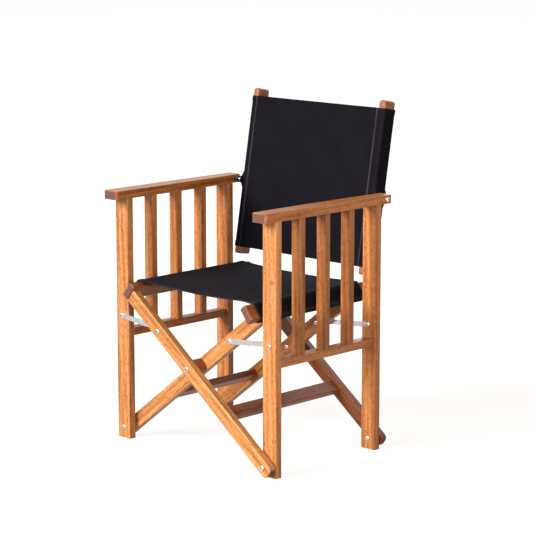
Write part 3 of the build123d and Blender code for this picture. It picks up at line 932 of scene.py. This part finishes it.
for name, side in (("left", -1), ("right", 1)):
    mid, thick, uv, wear, line, zs = sleeveGrid(side)
    sleeve = clothShell("backSleeve" + name.capitalize(), mid, thick, uv, wear, wovenBack)
    normal = gridNormals(mid)
    far = int(np.argmax(line[:, 0]))
    if normal[far, len(zs) // 4, 0] * side < 0:
        normal = -normal
    shown = [i for i, (x, y) in enumerate(line) if x > back["innerX"] + 9 or y > back["frontY"] + 6]
    seams = [gridRow(mid, normal, thick, shown, [nearest(zs, z)] * len(shown)) for z in hemSeams]
    stitches = repeatAlong(
        f"backSleeve{name.capitalize()}Stitches", seams, "stitch", blackThread, back["stitch"]
    )
    for piece in (sleeve, stitches):
        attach(piece, "back_" + name)
    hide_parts("back_sleeve_" + name)
print("back: panel and two sleeves")

# Camera, floor and lights
camera = {  # m, degrees, mm
    "place": (3.6056, -3.6275, 1.4137), "yaw": 44.248, "pitch": -10.595, "lens": 138.4, "sensor": 36,
}
cameraData = bpy.data.cameras.new("camera")
cameraData.lens = camera["lens"]
cameraData.sensor_width = camera["sensor"]
eye = bpy.data.objects.new("camera", cameraData)
eye.location = camera["place"]
eye.rotation_euler = (math.radians(90 + camera["pitch"]), 0, math.radians(camera["yaw"]))
bpy.context.scene.collection.objects.link(eye)
bpy.context.scene.camera = eye
bpy.context.scene.view_settings.view_transform = "Standard"

studio = {
    "aim": (0, 0, 0.4),
    "floorSpan": 14,        # m either way
    "paper": [(0.3, "#9B9593"), (0.7, "#A09A98")],
    "floorGlow": 0.8,       # lifts the lit paper to white and leaves the shadows
    "glow": "#FFFDFC",
    "dimPaper": "#6A6662",  # what the chair's own surfaces get back from the floor
    "mirrored": 0.38,       # how much of that polished surfaces see
    "roomLight": 0.16,      # what the room adds to matte surfaces
    "surround": 1.0,        # what polished ones mirror
    "key": {"kind": "SUN", "place": (-1.3, -3.6, 2.3), "power": 6.0, "colour": "#FFF9F2", "soft": 30},
    "fill": {"kind": "AREA", "place": (1.7, -1.2, 1.0), "power": 36, "colour": "#FFF4EA", "soft": 1.1},
    "rear": {"kind": "AREA", "place": (-1.5, 3.6, 2.2), "power": 60, "colour": "#FFFAF5", "soft": 2.4},
}
floorData = bpy.data.meshes.new("floor")
far = studio["floorSpan"]
corners = [(-far, -far, 0), (far, -far, 0), (far, far, 0), (-far, far, 0)]
floorData.from_pydata(corners, [], [(0, 1, 2, 3)])
floor = bpy.data.objects.new("floor", floorData)
bpy.context.scene.collection.objects.link(floor)
# Seamless backdrop paper, lit almost to white; it throws less light back than its white would
paper, tree = newMaterial("seamlessPaper")
fibres = addNode(tree, "ShaderNodeTexNoise", inputs={"Scale": 3.0})
matte = addNode(tree, "ShaderNodeBsdfDiffuse", inputs={
    "Color": addNode(tree, "ShaderNodeValToRGB", {"stops": studio["paper"]}, {"Fac": fibres}),
})
glow = addNode(
    tree, "ShaderNodeEmission",
    inputs={"Color": hexColour(studio["glow"]), "Strength": studio["floorGlow"]},
)
bright = addNode(tree, "ShaderNodeAddShader", inputs={0: matte, 1: glow})
dim = addNode(tree, "ShaderNodeBsdfDiffuse", inputs={"Color": hexColour(studio["dimPaper"])})
path = addNode(tree, "ShaderNodeLightPath")
mirrored = addNode(tree, "ShaderNodeMath", {"operation": "MULTIPLY_ADD"}, {
    0: path.outputs["Is Glossy Ray"], 1: studio["mirrored"], 2: path.outputs["Is Diffuse Ray"],
})
both = addNode(tree, "ShaderNodeMixShader", inputs={0: mirrored, 1: bright, 2: dim})
addNode(tree, "ShaderNodeOutputMaterial", inputs={"Surface": both})
floorData.materials.append(paper)

world = bpy.data.worlds.new("studio")
bpy.context.scene.world = world
world.use_nodes = True
tree = world.node_tree
tree.nodes.clear()
path = addNode(tree, "ShaderNodeLightPath")
strength = addNode(tree, "ShaderNodeMath", {"operation": "MULTIPLY_ADD"}, {
    0: path.outputs["Is Diffuse Ray"], 1: studio["roomLight"] - studio["surround"], 2: studio["surround"],
})
sky = addNode(tree, "ShaderNodeBackground", inputs={"Color": (1, 1, 1, 1), "Strength": strength})
addNode(tree, "ShaderNodeOutputWorld", inputs={"Surface": sky})

aim = Vector(studio["aim"])
for name in ("key", "fill", "rear"):
    values = studio[name]
    lampData = bpy.data.lights.new(name, values["kind"])
    if values["kind"] == "SUN":
        lampData.angle = math.radians(values["soft"])
    else:
        lampData.size = values["soft"]
    lampData.energy = values["power"]
    lampData.color = hexColour(values["colour"])[:3]
    lamp = bpy.data.objects.new(name, lampData)
    lamp.location = values["place"]
    lamp.rotation_euler = (aim - Vector(values["place"])).to_track_quat("-Z", "Y").to_euler()
    lamp.visible_camera = False
    bpy.context.scene.collection.objects.link(lamp)
print("studio: camera, floor, lights")
